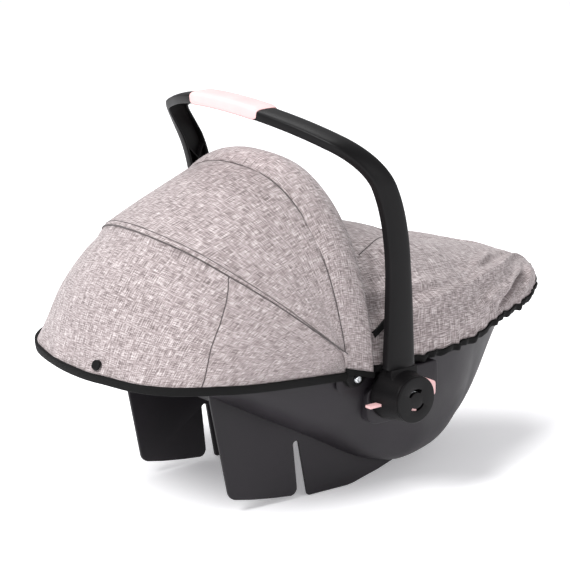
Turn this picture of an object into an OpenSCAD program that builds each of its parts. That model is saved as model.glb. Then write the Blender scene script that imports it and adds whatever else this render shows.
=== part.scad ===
// Infant car seat: moulded bucket on two runner skirts, swing handle with a coloured grip and
// release bars in its hubs, folding sun hood on two bows, foot cover, padded seat and harness.
// +X points to the foot end, +Z up, Y = 0 is the plane of symmetry, the floor is Z = 0 and
// the handle turns about a line parallel to Y above the origin.

/* [Bucket] */
// Half width of the bucket at its rim
rim_half = 164; // [150:1:172]
// Reach of the bucket behind the handle axis
rear_reach = 302; // [290:1:312]
// Reach of the bucket in front of the handle axis
toe_reach = 350; // [335:1:360]
// Wall of the moulded bucket
wall = 4; // [3:0.5:5]

/* [Runners] */
// Thickness of a runner skirt
skirt_t = 4; // [3:0.5:6]
// Half distance between the skirts at the rear end
skirt_half = 88; // [80:1:92]
// Splay of the skirts towards the foot end, in degrees
skirt_splay = 1.9; // [0:0.1:3]
// Width of the hook slot at its top
slot_w = 8; // [6:0.5:10]

/* [Handle] */
// Height of the handle axis above the floor
axis_z = 138; // [134:1:142]
// Height of the top of the handle above its axis
handle_h = 336; // [320:1:350]
// Half width of the handle, outside its arms
arm_half = 194; // [193:1:197]
// Rearward sweep of the grip behind the axis
sweep_back = 108; // [90:1:115]
// Width of an arm beside its hub
arm_w_hub = 42; // [38:1:46]
// Width of the bow at the grip
arm_w_top = 31; // [28:1:34]
// Depth of the open channel section
arm_t = 12; // [10:0.5:14]
// Half length of the grip
grip_half = 64; // [56:1:80]

/* [Hub] */
// Half distance between the outer faces of the hub caps
cap_half = 215; // [213:1:220]
// Radius of a hub cap
cap_r = 28; // [26:0.5:29]
// Radius of a hub at its inner end
drum_r = 33; // [31:0.5:34]
// Diameter of a handle pivot bolt
bolt_d = 12; // [10:0.5:14]
// Travel of a release bar towards the seat
release_travel = 4; // [3:0.5:4.5]

/* [Hood] */
// Half width of the hood where it meets its bows
hood_half = 174; // [174:0.5:175]
// Height of the front bow above its hinge line
front_bow_h = 216; // [200:1:220]
// Height of the rear bow above its hinge line
rear_bow_h = 221; // [205:1:225]
// Lean of the front bow behind the vertical, in degrees
front_lean = 6.4; // [3:0.1:9]
// Lean of the rear bow behind the vertical, in degrees
rear_lean = 51; // [48:0.5:54]
// Thickness of the hood's cloth with its lining
cloth = 1.7; // [1.4:0.1:1.8]

/* [Foot cover] */
// Height of the foot cover's ridge above its hem, at its rear end
cover_rise = 134; // [110:1:145]
// Height of the cover's hem above the floor
cover_hem_z = 172; // [168:1:176]

/* [Hidden] */

plastic = "#2b2b2d";
pink = "#e9bfc0";
linen = "#b3a8a6";
tape = "#1b1a1b";
steel = "#c9ccd0";
gap = 0.3;

// ---------- curves and sheets ----------
function spow(v, e) = sign(v) * pow(abs(v), e);
function mix(a, b, k) = a + (b - a) * k;
// Smooth value through a short list of [place, value] points (Catmull-Rom)
function seg(p, x, i = 0) = i >= len(p) - 2 || x < p[i + 1][0] ? i : seg(p, x, i + 1);
function slope(p, i) = i == 0 ? (p[1][1] - p[0][1]) / (p[1][0] - p[0][0])
    : i == len(p) - 1 ? (p[i][1] - p[i - 1][1]) / (p[i][0] - p[i - 1][0])
    : (p[i + 1][1] - p[i - 1][1]) / (p[i + 1][0] - p[i - 1][0]);
function hermite(p, i, x) = let (h = p[i + 1][0] - p[i][0], t = (x - p[i][0]) / h)
    p[i][1] * (1 + 2 * t) * pow(1 - t, 2) + p[i + 1][1] * t * t * (3 - 2 * t)
    + h * slope(p, i) * t * pow(1 - t, 2) - h * slope(p, i + 1) * t * t * (1 - t);
function smooth(p, x) = hermite(p, seg(p, x), max(p[0][0], min(p[len(p) - 1][0], x)));

// Closed solid between two grids of points of the same size. The outer grid's rows run from
// foot to head over a dome, or head to foot under a bowl, each from right to left.
module slab(outer, inner) {
    n = len(outer);
    m = len(outer[0]);
    function v(s, i, j) = s * n * m + i * m + j;
    points = [for (g = [outer, inner]) for (row = g) for (p = row) p];
    skin = [for (s = [0, 1]) for (i = [0:n - 2]) for (j = [0:m - 2])
        for (f = [[v(s, i, j), v(s, i + 1, j + 1), v(s, i, j + 1)],
                  [v(s, i, j), v(s, i + 1, j), v(s, i + 1, j + 1)]])
        s == 0 ? f : [f[0], f[2], f[1]]];
    ends = [for (e = [0, 1]) for (j = [0:m - 2]) let (i = e * (n - 1))
        for (f = [[v(0, i, j), v(1, i, j + 1), v(1, i, j)],
                  [v(0, i, j), v(0, i, j + 1), v(1, i, j + 1)]])
        e == 0 ? f : [f[0], f[2], f[1]]];
    sides = [for (e = [0, 1]) for (i = [0:n - 2]) let (j = e * (m - 1))
        for (f = [[v(0, i, j), v(1, i, j), v(1, i + 1, j)],
                  [v(0, i, j), v(1, i + 1, j), v(0, i + 1, j)]])
        e == 0 ? f : [f[0], f[2], f[1]]];
    polyhedron(points, concat(skin, ends, sides), convexity = 12);
}

// Closed solid through rings of points, with flat ends
module sweep(rings) {
    n = len(rings);
    m = len(rings[0]);
    points = [for (r = rings) for (p = r) p];
    skin = [for (i = [0:n - 2]) for (j = [0:m - 1]) let (k = (j + 1) % m)
        for (f = [[i * m + j, (i + 1) * m + k, i * m + k],
                  [i * m + j, (i + 1) * m + j, (i + 1) * m + k]]) f];
    first = [[for (j = [0:m - 1]) j]];
    last = [[for (j = [m - 1:-1:0]) (n - 1) * m + j]];
    polyhedron(points, concat(skin, first, last), convexity = 12);
}

// Outline with its corners rounded: each point is [x, y, radius]
function unit(v) = v / norm(v);
function corner(a, b, c, r, steps) =
    let (u = unit([a.x - b.x, a.y - b.y]), w = unit([c.x - b.x, c.y - b.y]),
         half = acos(u * w) / 2, far = r / sin(half), mid = [b.x, b.y] + unit(u + w) * far,
         s = [b.x, b.y] + u * r / tan(half) - mid, e = [b.x, b.y] + w * r / tan(half) - mid,
         turn = atan2(s.x * e.y - s.y * e.x, s * e), start = atan2(s.y, s.x))
    [for (i = [0:steps]) mid + r * [cos(start + turn * i / steps), sin(start + turn * i / steps)]];
function rounded(p, steps = 6) = [for (i = [0:len(p) - 1])
    let (a = p[(i + len(p) - 1) % len(p)], b = p[i], c = p[(i + 1) % len(p)])
    each b[2] > 0 ? corner(a, b, c, b[2], steps) : [[b.x, b.y]]];

module both() { children(); mirror([0, 1, 0]) children(); }

// ---------- bucket ----------
mid_x = -10;
keel = [[-312, 199.5], [-200, 143], [-60, 67.5], [20, 25], [95, 8], [190, 9], [262, 78],
    [320, 121], [350, 143]];
rim = [[-312, 222], [-250, 218], [-150, 202], [-60, 189], [60, 185], [372, 184]];
// Squareness of the cross-section, from the head end to the foot end
squareness = [[-250, 2.7], [-60, 3.2], [60, 4], [180, 2.1], [350, 1.8]];
function reach(u, off) = u < 0 ? rear_reach + mid_x - off : toe_reach - mid_x - off;
function plan(u) = u < 0 ? sqrt(max(0, 1 - pow(-u, 3.4))) : pow(max(0, 1 - pow(u, 2.2)), 1.1);
function station(u, off) = mid_x + u * reach(u, off);
function keel_z(u, off) = smooth(keel, station(u, 0)) + off;
function rim_z(u) = smooth(rim, station(u, 0));
function bucket_row(u, off) = let (w = max(2, (rim_half - off) * plan(u)),
    top = rim_z(u), low = min(top - 2, keel_z(u, off)), e = 2 / lookup(station(u, 0), squareness))
    [for (j = [0:20]) let (t = 9 * j)
        [station(u, off), -w * spow(cos(t), e), top - (top - low) * spow(sin(t), e)]];
function bucket_grid(off, last = 30) = [for (i = [0:last]) bucket_row(-cos(6 * i), off)];
function u_at(x, off) = (x - mid_x) / reach(x < mid_x ? -1 : 1, off);
// Height of the bucket's surface, raised by off, at a place in plan
function floor_z(x, y, off) = let (u = u_at(x, off), w = (rim_half - off) * plan(u),
    top = rim_z(u), low = keel_z(u, off), n = lookup(x, squareness))
    top - (top - low) * pow(max(0, 1 - pow(abs(y) / w, n)), 1 / n);

module bucket_layer(off_out, off_in, last) {
    slab(bucket_grid(off_out, last), bucket_grid(off_in, last));
}
// The bucket's bowl as a filled solid, up to a height above its rim
module bucket_solid(off, above) {
    rows = bucket_grid(off);
    slab(rows, [for (r = rows) [for (p = r) [p.x, p.y, r[0].z + above]]]);
}

// ---------- runners ----------
skirt_rear = -206;
skirt_front = 70;
slot_top = 72;
slot_rear = -84;
// Rocker edge from the foot end to the head end, with the hook slot let into it
skirt_outline = concat(
    [for (x = [skirt_rear:23:skirt_front]) [x, floor_z(x, skirt_half + 6, 0) + 8, 0]],
    [[skirt_front, 18.5, 0], [45, 10.5, 0], [22, 5, 0], [8, 1.4, 0], [-2, 0, 0], [-62, 0, 4],
     [slot_rear + slot_w, slot_top, 3.9], [slot_rear, slot_top, 3.9], [-76.5, 3.5, 9],
     [-112, 7.5, 0], [-145, 12.5, 0], [-176, 19, 14]]);

module skirt() {
    translate([-10, -(skirt_half + 6), 0]) rotate([0, 0, -skirt_splay]) translate([10, skirt_t, 0])
        rotate([90, 0, 0]) linear_extrude(skirt_t) polygon(rounded(skirt_outline));
}

// ---------- hub seats on the bucket ----------
// Hub parts are drawn with their own Z pointing out of the right-hand side of the seat
module hub_frame() { translate([0, 0, axis_z]) rotate([90, 0, 0]) children(); }
module plate(from, to) { translate([0, 0, from]) linear_extrude(to - from) children(); }
pad_face = 170.5;
pad_outline = [[-36, -36, 16], [-36, 4, 10], [-10, 23, 10], [72, 24.5, 5], [74, -20, 20],
    [40, -38, 20]];
bolt_start = 161;

// Flange round the foot end that carries the foot cover
flange_z = 180;
flange_t = 4;
module toe_flange() {
    edge = [for (k = [0:24]) let (x = mix(cover_rear + 2, cover_reach - 12, sin(90 * k / 24)))
        [x, (cover_half - 3) * cover_plan(x) - 3]];
    translate([0, 0, flange_z]) linear_extrude(flange_t)
        polygon(concat([for (e = edge) [e.x, -e.y]], [for (k = [23:-1:0]) edge[k]]));
}

module shell() {
    color(plastic) difference() {
        union() {
            bucket_solid(0, 1);
            toe_flange();
            both() skirt();
            both() hub_frame() plate(140, pad_face) polygon(rounded(pad_outline));
        }
        bucket_solid(wall, 40);
        both() hub_frame() translate([0, 0, 150]) cylinder(h = 30, d = bolt_d, $fn = 64);
    }
}

// ---------- padding and harness ----------
foam_in = 18;
cover_in = 27;
// The foam lies under the head and back only, so it has fewer rows than the bucket
foam_rows = 19;
module foam_liner() { color("white") bucket_layer(wall + gap, foam_in, foam_rows); }
module seat_cover() { color(linen) bucket_layer(foam_in + gap, cover_in, 30); }

// Flat band that lies on the padding: rise is the height of its underside above the cover
module band(y0, width, x_foot, x_head, rise, thick) {
    function row(x, lift) = [for (y = [y0 - width / 2, y0, y0 + width / 2])
        [x, y, floor_z(x, y, cover_in) + lift]];
    xs = [for (k = [0:10]) mix(x_foot, x_head, k / 10)];
    slab([for (x = xs) row(x, rise + thick)], [for (x = xs) row(x, rise)]);
}
strap_y = 44;
strap_t = 1.6;
buckle_x = 62;
buckle_l = 50;
module harness_strap() { color("#3a3a3c") band(-strap_y, 25, 18, -215, 2, strap_t); }
module harness_strap_right() { harness_strap(); }
module harness_strap_left() { mirror([0, 1, 0]) harness_strap(); }
module shoulder_pad() { color(linen) band(-strap_y, 48, -55, -165, 4, 8); }
module shoulder_pad_right() { shoulder_pad(); }
module shoulder_pad_left() { mirror([0, 1, 0]) shoulder_pad(); }
module crotch_strap() { color("#3a3a3c") band(0, 38, 132, buckle_x + buckle_l / 2 + 2, 2, strap_t); }
module adjuster_strap() { color("#3a3a3c") band(0, 25, 240, 150, 5, strap_t); }

buckle_base = floor_z(buckle_x, 22, cover_in) + 7;
module in_buckle() { translate([buckle_x, 0, buckle_base]) rotate([0, 6, 0]) children(); }
function box_outline(l, w, r) = rounded([[-l / 2, -w / 2, r], [l / 2, -w / 2, r],
    [l / 2, w / 2, r], [-l / 2, w / 2, r]]);
module buckle() {
    color("#202022") in_buckle() difference() {
        plate(0, 17) polygon(box_outline(buckle_l, 42, 9));
        translate([6, 0, 0]) plate(8, 18) polygon(box_outline(22.6, 26.6, 5.3));
    }
}
module buckle_button() {
    color("#b5302c") in_buckle() translate([6, 0, 0]) plate(11.5, 18.5) polygon(box_outline(22, 26, 5));
}

// ---------- handle ----------
crown_r = 423;
corner_r = 60;
crown_half = arm_half - 3;
arm_start = 34;
arm_taper = 150;
corner_y = crown_half - corner_r;
crown_z = handle_h - crown_r;
corner_z = crown_z + sqrt(pow(crown_r - corner_r, 2) - pow(corner_y, 2));
join_angle = atan2(corner_z - crown_z, corner_y);
channel_wall = 3;
bevel = 3;
// Points of the bow's outer line: [Y, height above the axis, angle of its outward normal]
half_bow = concat(
    [for (k = [0:6]) let (z = mix(arm_start, corner_z, k / 7))
        [-mix(arm_half, crown_half, z / corner_z), z, 0]],
    [for (k = [0:5]) let (a = join_angle * k / 6)
        [-corner_y - corner_r * cos(a), corner_z + corner_r * sin(a), a]],
    [for (k = [0:6]) let (a = mix(join_angle, 90, k / 7))
        [-crown_r * cos(a), crown_z + crown_r * sin(a), a]]);
bow = concat(half_bow, [[0, handle_h, 90]],
    [for (k = [len(half_bow) - 1:-1:0]) let (p = half_bow[k]) [-p[0], p[1], 180 - p[2]]]);
function swept_x(z) = -sweep_back * pow(z / handle_h, 5.1);
function arm_w(z) = arm_w_top + (arm_w_hub - arm_w_top) * max(0, 1 - z / arm_taper);
// Place on the bow: across is -0.5 to 0.5 of its width, depth is measured in from outside
function bow_at(p, x, depth) = [swept_x(p[1]) + x, p[0] + depth * cos(p[2]),
    axis_z + p[1] - depth * sin(p[2])];
function channel(w) = [[-w / 2 + bevel, 0], [0, -1], [w / 2 - bevel, 0], [w / 2, bevel],
    [w / 2, arm_t], [w / 2 - channel_wall, arm_t], [w / 2 - channel_wall, channel_wall],
    [channel_wall - w / 2, channel_wall], [channel_wall - w / 2, arm_t], [-w / 2, arm_t],
    [-w / 2, bevel]];
rib_pitch = 40;
rib_t = 0.8;
// Distance along the wall between the end of one rib and the start of the next
rib_gap = 5;
// One diagonal rib of the zigzag in the arm's channel
module rib(z0, way) {
    z1 = z0 + rib_pitch - rib_gap;
    function at(z, s, depth, dz) = bow_at([-mix(arm_half, crown_half, z / corner_z), z + dz, 0],
        s * (arm_w(z) / 2 - channel_wall / 2), depth);
    function sheet(dz) = [for (e = [[z0, -way], [z1, way]])
        [for (d = [channel_wall / 2, arm_t - 1]) at(e[0], e[1], d, dz)]];
    slab(sheet(-way * rib_t), sheet(way * rib_t));
}
module handle() {
    color(plastic) union() {
        sweep([for (p = bow) [for (c = channel(arm_w(p[1]))) bow_at(p, c[0], c[1])]]);
        both() for (k = [0:4]) rib(arm_start + 6 + k * rib_pitch, k % 2 == 0 ? 1 : -1);
    }
}

grip_t = 1.6;
grip_play = 0.6;
module grip() {
    half_angle = asin(grip_half / crown_r);
    function ring(a, out) = let (p = [-crown_r * sin(a), crown_z + crown_r * cos(a), 90 - a],
        w = arm_w(p[1]) + 2 * out, top = -1 - out, low = arm_t + out)
        [for (c = [[-w / 2 + bevel, top + 1], [0, top], [w / 2 - bevel, top + 1],
                   [w / 2, bevel - out], [w / 2, low - out], [w / 2 - out, low],
                   [out - w / 2, low], [-w / 2, low - out], [-w / 2, bevel - out]])
            bow_at(p, c[0], c[1])];
    function rings(out, extra) = [for (k = [-8:8]) ring(-half_angle * extra * k / 8, out)];
    color(pink) difference() {
        sweep(rings(grip_t + grip_play, 1));
        sweep(rings(grip_play, 1.05));
    }
}

// ---------- hubs ----------
drum_in = 171.2;
web_in = 203.2;
web_out = 207;
cap_in = 211;
bar_in = drum_in + release_travel + 2.8;
bar_out = 202.8;
// The bar's broad tab at the foot end and its thin tail at the head end
tab_low = -4;
tab_high = 14;
tab_reach = 40;
tail_low = -9;
tail_high = -6;
tail_reach = 46;
tail_out = 187;
bar_outline = [[-19, -11, 3], [-12, -14, 3], [16, -14, 4], [21, tab_low, 2],
    [tab_reach, tab_low, 3], [tab_reach, tab_high, 5], [0, tab_high, 5], [-19, -3, 3]];
nub_r = 12;
bolt_play = 0.1;
module arc_slot(r, width, start, sweep_angle, from, to) {
    translate([0, 0, from]) rotate([0, 0, start])
        rotate_extrude(angle = sweep_angle, $fn = 96)
            translate([r - width / 2, 0]) square([width, to - from]);
}
module handle_hub() {
    w = arm_w(arm_start);
    shoulder_out = arm_half - 3 * arm_start / corner_z;
    color(plastic) hub_frame() difference() {
        union() {
            rotate_extrude($fn = 96) polygon([[0, drum_in], [drum_r, drum_in],
                [drum_r, drum_in + 3], [cap_r + 0.6, cap_in - 6], [cap_r, cap_in], [0, cap_in]]);
            plate(shoulder_out - arm_t, shoulder_out) translate([-w / 2, 0]) square([w, arm_start]);
        }
        translate([0, 0, drum_in - 1]) cylinder(h = web_in - drum_in + 1, r = 24, $fn = 96);
        translate([0, 0, web_out]) cylinder(h = 10, r = 23, $fn = 96);
        translate([0, 0, web_in - 1]) cylinder(h = 10, d = bolt_d + bolt_play, $fn = 64);
        plate(drum_in - 1, web_in) translate([0, tab_low - 0.4])
            square([60, tab_high - tab_low + 0.8]);
        plate(drum_in - 1, tail_out + 0.4) translate([-60, tail_low - 0.4])
            square([60, tail_high - tail_low + 0.8]);
        arc_slot(nub_r, 3.6, 236, 44, web_in - 1, web_out + 1);
    }
}
module handle_hub_right() { handle_hub(); }
module handle_hub_left() { mirror([0, 1, 0]) handle_hub(); }

module hub_cap() {
    color(plastic) hub_frame() difference() {
        rotate_extrude($fn = 96) polygon([[0, cap_in], [cap_r, cap_in], [cap_r, cap_half - 1],
            [cap_r - 1, cap_half], [0, cap_half]]);
        arc_slot(nub_r - 1, 4.2, 50, 105, cap_in - 1, cap_half + 1);
        arc_slot(nub_r, 3, 233, 97, cap_in - 1, cap_half + 1);
    }
}
module hub_cap_right() { hub_cap(); }
module hub_cap_left() { mirror([0, 1, 0]) hub_cap(); }

module release_bar() {
    color(pink) hub_frame() {
        difference() {
            union() {
                plate(bar_in, bar_out) polygon(rounded(bar_outline));
                plate(bar_in, tail_out) translate([-tail_reach, tail_low])
                    square([tail_reach - 10, tail_high - tail_low]);
            }
            translate([0, 0, bar_in - 1]) cylinder(h = 40, d = bolt_d + 1, $fn = 64);
        }
        arc_slot(nub_r, 2.6, 240, 35, bar_out - 4, cap_half - 1.6);
    }
}
module release_bar_right() { release_bar(); }
module release_bar_left() { mirror([0, 1, 0]) release_bar(); }

module pivot_bolts() {
    color(steel) both() hub_frame() union() {
        translate([0, 0, bolt_start]) cylinder(h = web_out + 2 - bolt_start, d = bolt_d, $fn = 64);
        translate([0, 0, web_out + 0.2]) cylinder(h = 3, r = 9.2, $fn = 64);
    }
}
ring_teeth = 12;
module lock_rings() {
    color("#8d8f92") both() hub_frame() difference() {
        translate([0, 0, pad_face]) cylinder(h = 3, r = 21, $fn = 96);
        translate([0, 0, pad_face - 1]) cylinder(h = 6, d = bolt_d, $fn = 64);
        for (k = [1:ring_teeth]) rotate([0, 0, 360 * k / ring_teeth])
            translate([17.5, -2, pad_face + 0.8]) cube([5, 4, 4]);
    }
}

// ---------- hood ----------
pivot = [-53.5, 163.5];
front_foot = [-72, 180];
rear_foot = [-74, 199];
visor_foot = [-31.5, 170];
visor_lean = 2.2;
visor_h = 227;
screw_d = 6;
// Layers of the hood's side, counted outwards from the bucket
plate_out = 166;
front_arm = [166.2, 168];
rear_arm = [170.2, 172];
module hood_frame() { rotate([90, 0, 0]) children(); }
module eye_plate(outline, layer) {
    hood_frame() difference() {
        plate(layer[0], layer[1]) polygon(rounded(outline));
        translate([pivot.x, pivot.y, layer[0] - 1]) cylinder(h = 6, d = screw_d + 0.1, $fn = 48);
    }
}
module hinge_plates() {
    outline = [[-80, 150, 8], [-80, 174, 8], [-62, 184, 8], [-40, 176, 6], [-37, 152, 4]];
    color(plastic) both() hood_frame() difference() {
        plate(rim_half + 0.2, plate_out) polygon(rounded(outline));
        translate([pivot.x, pivot.y, 150]) cylinder(h = 30, d = screw_d, $fn = 48);
    }
}
module hood_screws() {
    color(steel) both() hood_frame() translate([pivot.x, pivot.y, 0]) difference() {
        union() {
            translate([0, 0, rim_half + 0.2]) cylinder(h = 8.2, d = screw_d, $fn = 48);
            translate([0, 0, rear_arm[1] + 0.2]) cylinder(h = 2.8, r1 = 5, r2 = 3.8, $fn = 48);
        }
        translate([0, 0, rear_arm[1] + 1.8]) cylinder(h = 3, d = 3.4, $fn = 6);
    }
}

// Hoop in a leaning plane through a foot point: t runs from the right side over to the left
function hoop(foot, lean, a, b, n, t) = let (r = b * spow(sin(t), 2 / n))
    [foot.x - r * sin(lean), -a * spow(cos(t), 2 / n), foot.y + r * cos(lean)];
function front_seam(t, o) = hoop(front_foot, front_lean, hood_half + o, front_bow_h + o, front_n, t);
function rear_seam(t, o) = hoop(rear_foot, rear_lean, hood_half + o, rear_bow_h + o, rear_n, t);
function visor_edge(t, o) = hoop(visor_foot, visor_lean, hood_half + o, visor_h + o, front_n, t);
function hem(t, o, drop) = let (x = front_foot.x - (hem_reach + o) * pow(sin(t), 0.38))
    [x, -(hood_half + o) * cos(t), 175 + 15 * min(1, (front_foot.x - x) / 176) - drop];
function back_at(t, k, o) = mix(rear_seam(t, o), hem(t, o, 0), k)
    + back_puff * sin(180 * k) * sin(t) * [-1, 0, 0.5];
sides = [for (j = [0:26]) 180 * j / 26];
// The same for the middle panel, whose ends stop just short of its feet
inner_sides = [2, each [for (j = [1:25]) 180 * j / 26], 178];
hem_reach = 258;
back_puff = 8;
panel_puff = 4;
visor_puff = 3;
front_n = 2.4;
rear_n = 2.15;

// Flat spring strip bent into a bow inside the hood, drawn just inside one of its seams
strip_w = 14;
strip_t = 1.8;
module bow_strip(foot, lean, half, height, n) {
    start = 4;
    along = strip_w / 2 * [cos(lean), 0, sin(lean)];
    function ring(t) = let (c = hoop(foot, lean, half, height, n, t),
        c2 = hoop(foot, lean, half - strip_t, height - strip_t, n, t))
        [c - along, c + along, c2 + along, c2 - along];
    sweep([for (k = [0:36]) ring(mix(start, 180 - start, k / 36))]);
}
module front_bow() {
    outline = [[-82, 172, 5], [-84, 208, 2], [-68, 209, 2], [-34, 184, 4], [-34, 164, 6],
        [-46, 153.5, 9], [-62, 153.5, 9]];
    color(plastic) {
        both() eye_plate(outline, front_arm);
        bow_strip(front_foot, front_lean, front_arm[1], front_bow_h - 7, front_n);
    }
}
module rear_bow() {
    outline = [[-103, 209, 2], [-92, 223, 2], [-46, 178, 8], [-44, 154, 8.9], [-63, 154, 8.9]];
    color(plastic) {
        both() eye_plate(outline, rear_arm);
        bow_strip(rear_foot, rear_lean, rear_arm[1], rear_bow_h - 3, rear_n);
    }
}
// The hood's three panels lie one inside the next, so that they can slide past each other
visor_o = -4;
panel_o = 0;
back_o = 2.4;
module hood_visor() {
    function grid(o) = [for (k = [0:3]) [for (t = sides)
        mix(visor_edge(t, o), front_seam(t, o), k / 3) + visor_puff * sin(60 * k) * [0, 0, sin(t)]]];
    color(linen) slab(grid(visor_o), grid(visor_o - cloth));
}
module hood_panel() {
    function grid(o) = [for (k = [0:4]) [for (t = inner_sides)
        mix(front_seam(t, o), rear_seam(t, o), k / 4) + panel_puff * sin(45 * k) * [0, 0, sin(t)]]];
    color(linen) slab(grid(panel_o), grid(panel_o - cloth));
}
module hood_back() {
    function grid(o) = [for (k = [0:6]) [for (t = sides) back_at(t, k / 6, o)]];
    color(linen) slab(grid(back_o), grid(back_o - cloth));
}
tape_w = 9;
module hood_binding() {
    function grid(o) = [for (drop = [0.1, tape_w]) [for (t = sides) hem(t, o, drop)]];
    color(tape) slab(grid(back_o + 0.8), grid(back_o - cloth));
}
module snap_button() {
    color(tape) translate(back_at(77, 0.93, back_o + 0.4)) rotate([0, -58, 8])
        cylinder(h = 3, r1 = 6.5, r2 = 5.5, $fn = 48);
}

// ---------- foot cover ----------
cover_rear = -22;
cover_reach = 383;
cover_half = 166;
cover_n = 2.4;
// Half width of the cover at its blunt tip
toe_tip = 10;
ridge = [[-30, 1], [60, 0.985], [120, 0.88], [195, 0.69], [250, 0.57], [303, 0.43], [345, 0.28],
    [383, 0.1]];
function cover_plan(x) = pow(max(0, 1 - pow((x - mid_x) / (cover_reach - mid_x), 2)), 0.7);
function cover_section(x, o, t) = let (w = max(toe_tip + o, (cover_half + o) * cover_plan(x)),
    h = cover_rise * smooth(ridge, x) + o - 4)
    [x, -w * spow(cos(t), 2 / cover_n), cover_hem_z + h * spow(sin(t), 2 / cover_n)];
module foot_cover() {
    function at(k, o) = mix(cover_rear, cover_reach - 4 + o, sin(90 * k / 22));
    function grid(o) = [for (k = [22:-1:0]) [for (t = sides) cover_section(at(k, o), o, t)]];
    color(linen) slab(grid(4), grid(1.2));
}
module cover_binding() {
    function edge(a, o) = let (x = mix(cover_rear, cover_reach - 4 + o, sin(a)))
        [x, -sign(90 - a + 0.001) * max(1, (cover_half + o) * cover_plan(x))];
    function row(z, o) = [for (k = [0:32]) let (e = edge(180 * k / 32, o)) [e.x, e.y, z]];
    function grid(o) = [row(cover_hem_z - tape_w + 0.6, o), row(cover_hem_z - 0.1, o)];
    color(tape) slab(grid(4.6), grid(1.2));
}

shell();
foam_liner();
seat_cover();
harness_strap_right();
harness_strap_left();
shoulder_pad_right();
shoulder_pad_left();
crotch_strap();
buckle();
buckle_button();
adjuster_strap();
handle();
handle_hub_right();
handle_hub_left();
grip();
hub_cap_right();
hub_cap_left();
release_bar_right();
release_bar_left();
pivot_bolts();
lock_rings();
hinge_plates();
hood_screws();
front_bow();
rear_bow();
hood_visor();
hood_panel();
hood_back();
hood_binding();
snap_button();
foot_cover();
cover_binding();
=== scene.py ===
# Infant car seat: moulded bucket on two runner skirts, swing handle with a coloured grip, folding
# sun hood of melange linen on two bows, foot cover with a gathered hem, padded seat and harness.
import math

import bpy
import numpy as np
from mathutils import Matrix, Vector, noise


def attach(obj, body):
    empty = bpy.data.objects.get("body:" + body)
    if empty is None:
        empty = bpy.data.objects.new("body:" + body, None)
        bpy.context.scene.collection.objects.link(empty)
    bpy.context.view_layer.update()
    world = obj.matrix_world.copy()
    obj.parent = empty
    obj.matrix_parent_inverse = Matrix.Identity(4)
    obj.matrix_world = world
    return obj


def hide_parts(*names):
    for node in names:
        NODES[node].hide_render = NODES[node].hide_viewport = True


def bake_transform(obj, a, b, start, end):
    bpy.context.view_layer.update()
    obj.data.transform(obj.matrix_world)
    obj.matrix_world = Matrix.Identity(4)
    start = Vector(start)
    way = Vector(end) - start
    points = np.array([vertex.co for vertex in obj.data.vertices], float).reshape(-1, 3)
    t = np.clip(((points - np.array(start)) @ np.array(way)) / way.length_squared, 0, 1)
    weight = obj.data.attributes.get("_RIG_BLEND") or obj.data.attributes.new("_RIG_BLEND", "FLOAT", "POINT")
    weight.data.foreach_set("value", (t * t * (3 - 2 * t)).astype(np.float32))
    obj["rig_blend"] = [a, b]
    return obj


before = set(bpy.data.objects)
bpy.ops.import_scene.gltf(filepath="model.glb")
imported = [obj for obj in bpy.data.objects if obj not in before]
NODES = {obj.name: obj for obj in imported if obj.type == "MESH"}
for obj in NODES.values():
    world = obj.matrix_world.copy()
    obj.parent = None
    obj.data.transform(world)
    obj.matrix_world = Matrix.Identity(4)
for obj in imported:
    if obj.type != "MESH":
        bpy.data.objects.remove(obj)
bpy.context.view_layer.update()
MM = 0.001

# ---------------------------------------------------------------- camera
LENS = 164.1
camera = bpy.data.objects.new("camera", bpy.data.cameras.new("camera"))
bpy.context.scene.collection.objects.link(camera)
camera.data.lens = LENS
camera.data.sensor_width = 36
camera.location = (-1.904, -2.349, 1.0713)
camera.rotation_euler = (math.radians(74.44), 0, math.radians(-38.69))
bpy.context.scene.camera = camera


# ---------------------------------------------------------------- small tools
def deselect():
    bpy.ops.object.select_all(action="DESELECT")


def take(obj):
    deselect()
    obj.select_set(True)
    bpy.context.view_layer.objects.active = obj


def edit(obj, *steps):
    """Runs edit-mode operators on all of one piece."""
    take(obj)
    bpy.ops.object.mode_set(mode="EDIT")
    bpy.ops.mesh.select_all(action="SELECT")
    for step in steps:
        step()
    bpy.ops.object.mode_set(mode="OBJECT")


def finish_with(obj, kind, **settings):
    """Adds a modifier to a piece and applies it."""
    take(obj)
    modifier = obj.modifiers.new(kind.lower(), kind)
    for key, value in settings.items():
        setattr(modifier, key, value)
    bpy.ops.object.modifier_apply(modifier=modifier.name)


def smooth_by_angle(obj, degrees=35):
    take(obj)
    bpy.ops.object.shade_smooth_by_angle(angle=math.radians(degrees))


def paint(obj, material):
    obj.data.materials.clear()
    obj.data.materials.append(material)


def outwards(obj):
    edit(obj, lambda: bpy.ops.mesh.remove_doubles(threshold=1e-6),
         lambda: bpy.ops.mesh.normals_make_consistent(inside=False))


def mesh_piece(name, points_mm, faces):
    mesh = bpy.data.meshes.new(name)
    mesh.from_pydata([[c * MM for c in p] for p in points_mm], [], faces)
    mesh.update()
    obj = bpy.data.objects.new(name, mesh)
    bpy.context.scene.collection.objects.link(obj)
    return obj


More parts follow.
